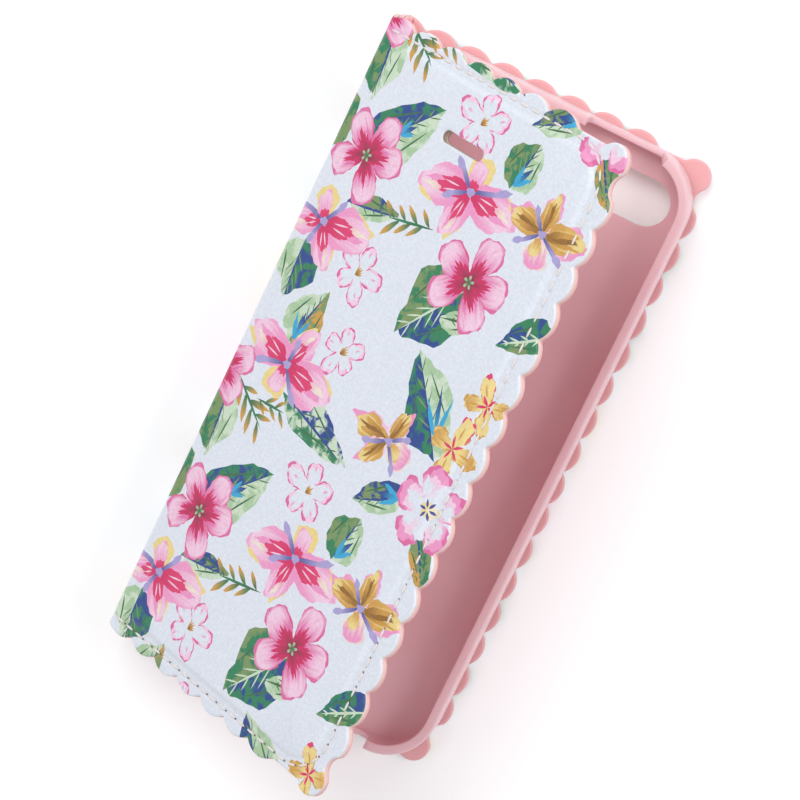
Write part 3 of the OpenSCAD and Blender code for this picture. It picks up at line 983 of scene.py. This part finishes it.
def stitching_tree():
    """Turns a line of edges into a row of stitches with needle holes between them."""
    tree = bpy.data.node_groups.new("stitches_along_a_line", "GeometryNodeTree")
    for way in ("OUTPUT", "INPUT"):
        tree.interface.new_socket("Geometry", in_out=way, socket_type="NodeSocketGeometry")
    for name in (*STITCH_SIZES, "Thread", "Hole"):
        kind = "NodeSocketFloat" if name in STITCH_SIZES else "NodeSocketMaterial"
        tree.interface.new_socket(name, in_out="INPUT", socket_type=kind)
    given = add(tree, "NodeGroupInput").node.outputs
    pitch, thread, hole = (given[n] for n in ("Stitch pitch", "Thread width", "Hole width"))
    curve = add(tree, "GeometryNodeMeshToCurve", {0: given["Geometry"]})
    later = add(tree, "GeometryNodeTrimCurve", {"Curve": curve}, mode="LENGTH")
    start, end = [s for s in later.node.inputs if s.enabled and s.name in ("Start", "End")]
    tree.links.new(calc(tree, "MULTIPLY", pitch, 0.5), start)
    end.default_value = 10.0
    stitch = (given["Stitch length"], thread, calc(tree, "MULTIPLY", thread, 0.75))
    dent = (hole, calc(tree, "MULTIPLY", hole, 0.6), calc(tree, "MULTIPLY", hole, 0.25))
    rows = [
        along_curve(tree, curve, pitch, 6, stitch, given["Thread"]),
        along_curve(tree, later, pitch, 3, dent, given["Hole"]),
    ]
    joined = add(tree, "GeometryNodeJoinGeometry")
    for row in rows:
        tree.links.new(row, joined.node.inputs[0])
    add(tree, "NodeGroupOutput", {0: joined})
    return tree


stitching = stitching_tree()
print("stitching tree:", len(stitching.nodes), "nodes")


# %% Sew a line
def sewn(name, line_mm):
    """Stitches along a flat line in the plane z = 0, as a plain mesh in metres."""
    points = [(x * MM, y * MM, 0) for x, y in line_mm]
    mesh = bpy.data.meshes.new(name)
    mesh.from_pydata(points, [(i, i + 1) for i in range(len(points) - 1)], [])
    guide = bpy.data.objects.new(name, mesh)
    scene.collection.objects.link(guide)
    modifier = guide.modifiers.new("stitches", "NODES")
    modifier.node_group = stitching
    values = {name: size * MM for name, size in STITCH_SIZES.items()}
    values.update({"Thread": sewing_finish, "Hole": hole_finish})
    for item in stitching.interface.items_tree:
        if item.in_out == "INPUT" and item.name in values:
            modifier[item.identifier] = values[item.name]
    shown = guide.evaluated_get(bpy.context.evaluated_depsgraph_get())
    result = bpy.data.meshes.new_from_object(shown)
    bpy.data.objects.remove(guide)
    return result


# %% The two seams
THREAD_SUNK = GROOVE - 0.1


def seam_on(body, side, name, node):
    """The seam of one panel: stitches on the leather and on the lining."""
    line = evenly(panel_ring(0, SEAM_START, SEAM_R), 0.5, closed=False)
    points, faces, slots = [], [], []
    for out, n in ((-1, OUTER_N + THREAD_SUNK), (1, INNER_N - THREAD_SUNK)):
        flat = sewn(name, line)
        co = np.array([v.co for v in flat.vertices]) / MM
        s = co[:, 0] if side > 0 else -SPINE_W - co[:, 0]
        start = len(points)
        points.extend(fold(s, co[:, 1], n + out * co[:, 2]))
        turned = (out < 0) != (side < 0)
        for p in flat.polygons:
            f = [start + v for v in p.vertices]
            faces.append(f[::-1] if turned else f)
            slots.append(p.material_index)
    piece = make_piece(name, points, faces, list(flat.materials), crisp=60)
    piece.data.polygons.foreach_set("material_index", slots)
    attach(piece, body)
    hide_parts(node)
    print(name, "faces:", len(faces))


seam_on("back", 1, "stitching_back", "back_seam_thread")
seam_on("cover", -1, "stitching_cover", "cover_seam_thread")

# %% [markdown]
# ## The soft tray
# The phone sits in a tray moulded in soft, milky pink TPU. Its wall has a constant
# thickness and ends in a small rounded lip that reaches in over the phone's edge. A
# section drawn once is swept round the tray's outline; where a key or the charging socket
# needs room, the wall's top drops in a round-cornered notch and the lip stops.

# %% Sizes of the tray, in millimetres
POCKET_W, POCKET_L, POCKET_R = 58.8, 124.0, 9.3
WALL, TRAY_Z, FLOOR_Z, LIP_Z, RIM_Z, LIP = 1.2, 3.0, 4.2, 11.9, 12.6, 0.7
# each notch: the axis its wall faces along, which wall, middle, width and depth
NOTCHES = (("y", 1, 14.5, 16.0, 4.6), ("y", -1, 0.0, 40.0, 6.4), ("x", -1, 34.0, 34.0, 5.0))
NOTCH_R, NOTCH_EDGE = 1.5, 0.5
# where the wall's top bends, measured from a notch's end towards its middle
NOTCH_BENDS = (-0.55, -0.5, -0.45, -0.35, -0.2, -0.05, 0, 0.04, 0.15, 0.35, 0.7, 1.1, 1.5, 1.6)
TOP_R, BEAD_R = 0.55, 0.32
CORNER_STEPS, STATION_STEP = 12, 2.0
WINDOW_W, WINDOW_H = 20, 9
print("tray outside, mm:", round(POCKET_W + 2 * WALL, 1), round(POCKET_L + 2 * WALL, 1))


# %% The wall's top and section
def wall_top(x, y):
    """Height of the wall's top at a place on the outer wall."""
    top = RIM_Z
    for axis, side, middle, width, depth in NOTCHES:
        across, along, reach = (y, x, POCKET_L) if axis == "y" else (x, y, POCKET_W)
        run = width / 2 - abs(along - middle)
        if across * side <= reach / 2 or run <= -NOTCH_EDGE:
            continue
        height = RIM_Z - depth
        if run < 0:
            rounding = NOTCH_EDGE**2 - (NOTCH_EDGE + run) ** 2
            height = RIM_Z - NOTCH_EDGE + math.sqrt(max(0, rounding))
        elif run < NOTCH_R:
            height += NOTCH_R - math.sqrt(NOTCH_R**2 - (NOTCH_R - run) ** 2)
        top = min(top, height)
    return top


def tray_section(top):
    """Inset from the outer wall and height: up the outside, over the lip, down the inside."""
    points = [(0.6, TRAY_Z), (0.25, TRAY_Z + 0.15), (0, TRAY_Z + 0.6), (0, TRAY_Z + 1.5)]
    points.append((0, (TRAY_Z + top) / 2))
    r, bead, under = TOP_R, BEAD_R, top - 0.7
    for t in np.linspace(0, math.pi / 2, 6):
        points.append((r - r * math.cos(t), top - r + r * math.sin(t)))
    lipped = float(eased((top - LIP_Z - 0.1) / 0.4))
    inner = WALL + LIP * lipped
    for t in np.linspace(0, math.pi / 2, 5):
        points.append((inner - bead + bead * math.sin(t), top - bead + bead * math.cos(t)))
    points += [(inner, (top - bead + under) / 2), (inner - 0.1 * lipped, under)]
    points += [(WALL, under - 0.12), (WALL, (FLOOR_Z + under) / 2), (WALL, FLOOR_Z + 0.5)]
    return points + [(WALL + 0.15, FLOOR_Z + 0.12), (WALL + 0.5, FLOOR_Z)]


# %% The tray's path
def rounded_path(w, l, r):
    """A rounded rectangle, anticlockwise, as places and outward headings."""
    places = []
    for cx, cy, start in ((1, 1, 0), (-1, 1, 90), (-1, -1, 180), (1, -1, 270)):
        for k in range(CORNER_STEPS + 1):
            t = math.radians(start + 90 * k / CORNER_STEPS)
            nx, ny = math.cos(t), math.sin(t)
            places.append((cx * (w / 2 - r) + r * nx, cy * (l / 2 - r) + r * ny, nx, ny))
    return places


def notch_places(a, b, heading_out, run):
    """Where the notches of the straight wall from a to b need a station."""
    at = set()
    for axis, side, middle, width, _ in NOTCHES:
        facing, along = (1, 0) if axis == "y" else (0, 1)
        if side * heading_out[facing] <= 0.5:
            continue
        for end in (-1, 1):
            for d in NOTCH_BENDS:
                place = middle + end * (width / 2 - d)
                share = (place - a[along]) / (b[along] - a[along])
                if 0.02 < share * run < run - 0.02:
                    at.add(round(share * run, 3))
    return at


def path_stations():
    """Places round the outer wall, close together where a notch begins."""
    corners = rounded_path(POCKET_W + 2 * WALL, POCKET_L + 2 * WALL, POCKET_R + WALL)
    stations = []
    for a, b in zip(corners, corners[1:] + corners[:1]):
        stations.append(a)
        run, out = math.hypot(b[0] - a[0], b[1] - a[1]), a[2:]
        if run < 6:
            continue
        at = set(np.arange(STATION_STEP, run - 1, STATION_STEP).round(3))
        for t in sorted(at | notch_places(a, b, out, run)):
            stations.append((a[0] + (b[0] - a[0]) * t / run, a[1] + (b[1] - a[1]) * t / run, *out))
    return stations


print("stations round the tray:", len(path_stations()))


# %% Build the tray
def floor_sheet(points, faces, rim, window, z, turned):
    """One face of the tray's floor, with the camera's window; returns the window's rim."""
    flat = np.array([points[v][:2] for v in rim])
    found, triangles, owners = triangulate([flat, window])
    start, number = len(points), {}
    for i, p in enumerate(found):
        near = np.hypot(*(flat - p).T)
        if near.min() < 1e-3:
            number[i] = rim[int(near.argmin())]
        else:
            number[i] = len(points)
            points.append((*p, z))
    for t, own in zip(triangles, owners):
        if 0 in own and 1 not in own:
            f = [number[v] for v in t]
            faces.append(f[::-1] if turned else f)
    ring = range(start, len(points))
    return sorted(ring, key=lambda v: math.atan2(points[v][1] - CAMERA_Y, points[v][0] - CAMERA_X))


def make_tray(finish):
    """The swept wall, the floor's two faces and the wall of the camera's window."""
    stations = path_stations()
    sections = [tray_section(wall_top(x, y)) for x, y, _, _ in stations]
    count, rows = len(stations), len(sections[0])
    points, faces = [], []
    for (x, y, nx, ny), section in zip(stations, sections):
        points += [(x - nx * inset, y - ny * inset, z) for inset, z in section]
    for i in range(count):
        a, b = i * rows, (i + 1) % count * rows
        faces += [(a + k, b + k, b + k + 1, a + k + 1) for k in range(rows - 1)]
    window = slot_ring(CAMERA_X, CAMERA_Y, WINDOW_W, WINDOW_H)
    low_rim, high_rim = ([i * rows + row for i in range(count)] for row in (0, rows - 1))
    low = floor_sheet(points, faces, low_rim, window, TRAY_Z, True)
    high = floor_sheet(points, faces, high_rim, window, FLOOR_Z, False)
    for k in range(len(low)):
        after = (k + 1) % len(low)
        faces.append((low[after], low[k], high[k], high[after]))
    tray = make_piece("soft_tray", points, faces, [finish], crisp=50)
    print("soft_tray faces:", len(faces))
    return tray


# %% The tray and its finish
def tray_finish():
    """Frosted TPU: milky, with light that seeps a millimetre or so into its edges."""
    made, tree, shader = new_finish(
        "frosted_pink_tpu", Roughness=0.38, IOR=1.5, Subsurface_Weight=0.25,
        Subsurface_Scale=0.002, Subsurface_Radius=(1.0, 0.45, 0.4),
    )
    haze = noise(tree, 14, 2)
    plug(shader, {"Base Color": mixed(tree, haze, linear("#e8c4c9"), linear("#e0b3ba"))})
    # the mould's own fine texture, a quarter of a millimetre across
    bumped(tree, shader, noise(tree, 0.25, 2), 0.02, 0.25)
    return made


tray = make_tray(tray_finish())
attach(tray, "back")
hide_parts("tray")

# %% [markdown]
# ## The hidden layers
# The boards that stiffen both panels and the foam pad under the tray keep their packed
# shapes, because they are flat sheets in real life too. They only get a finish of their
# own: grey fibre board with long pressed fibres, and closed-cell foam with small cells.

# %% Boards and pad
board_finish = plain_sheet(
    "pressed_fibre_board", "#bfb29c", "#9d8f78", 0.35, 0.06, 0.6, Roughness=0.85
)
pad_finish = plain_sheet(
    "closed_cell_foam_tape", "#d8c9c0", "#c4b2a8", 0.3, 0.08, 0.7, Roughness=0.9
)
kept_shapes = {"back_board": board_finish, "cover_board": board_finish, "tray_pad": pad_finish}
for node_name, finish in kept_shapes.items():
    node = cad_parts[node_name]
    node.data.materials.clear()
    node.data.materials.append(finish)
print("hidden CAD pieces finished:", len(kept_shapes))

# %% [markdown]
# ## Floor and light
# The case lies on plain white paper under a large soft light from above, with the room's
# own light filling the shadows, as in a small product tent. The paper is lit a little from
# behind as well, as on a light table, which is the paper's small glow here.

# %% Floor and light
FLOOR_HALF = 900
# matt white paper: almost no gloss, with a little light coming through it
paper, paper_tree, paper_shader = new_finish(
    "white_paper", Roughness=0.9, Emission_Color=linear("#ffffff"), Emission_Strength=0.1
)
grain = noise(paper_tree, 1.2, 2)
white = mixed(paper_tree, grain, linear("#fdfdfd"), linear("#fafafa"))
plug(paper_shader, {"Base Color": white})
corners = [(x * FLOOR_HALF, y * FLOOR_HALF, 0) for x, y in ((-1, -1), (1, -1), (1, 1), (-1, 1))]
floor = make_piece("floor", corners, [(0, 1, 2, 3)], [paper])
floor.location.z = -0.2 * MM

world = bpy.data.worlds.new("tent")
world.use_nodes = True
tent = world.node_tree.nodes["Background"]
plug(tent, {"Color": linear("#fbfcff"), "Strength": 0.62})
scene.world = world


def soft_light(name, where_mm, size_mm, watts):
    """A square light that faces the case."""
    data = bpy.data.lights.new(name, "AREA")
    data.shape, data.size, data.energy = "SQUARE", size_mm * MM, watts
    lamp = bpy.data.objects.new(name, data)
    scene.collection.objects.link(lamp)
    lamp.location = Vector(where_mm) * MM
    lamp.rotation_euler = (-lamp.location).to_track_quat("-Z", "Y").to_euler()


soft_light("tent_light", (-350, 450, 800), 600, 4.2)
soft_light("edge_light", (500, 250, 500), 300, 1.5)
